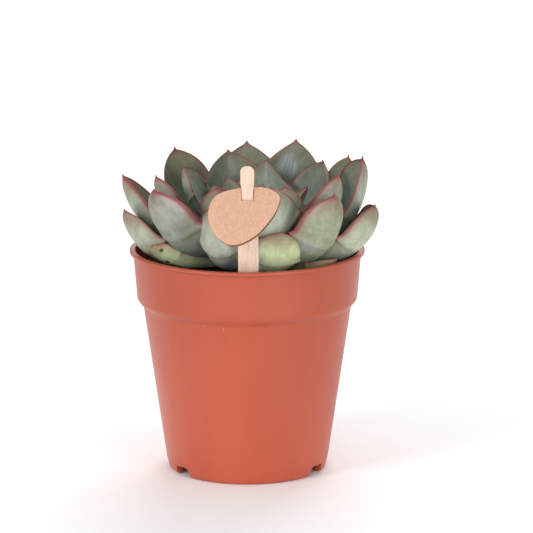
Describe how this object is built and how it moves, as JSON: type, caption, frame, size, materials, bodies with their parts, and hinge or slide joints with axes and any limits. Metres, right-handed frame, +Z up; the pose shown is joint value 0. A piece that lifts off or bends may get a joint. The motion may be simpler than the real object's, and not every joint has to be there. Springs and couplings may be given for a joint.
{
  "type": "potted echeveria",
  "caption": "Succulent rosette of pointed fleshy grey-green leaves in a tapered terracotta-coloured nursery pot of soil, with a bare wooden tag on a stick.",
  "frame": {"origin": "on the pot's axis, on the surface that the pot stands on", "axes": "+Z up along the pot's axis; the label stands at -Y and faces it; +X to the right seen from there"},
  "size_m": [0.1147, 0.1151, 0.1469],
  "materials": {
    "terracotta_plastic": "satin",
    "peat": "rough",
    "leaf_flesh": "waxy",
    "pale_wood": "sawn",
    "tag_wood": "bare"
  },
  "bodies": {
    "root": {"pot": "terracotta_plastic", "potting_soil": "peat", "rosette": "leaf_flesh", "label_stick": "pale_wood", "label_tag": "tag_wood"}
  },
  "joints": []
}
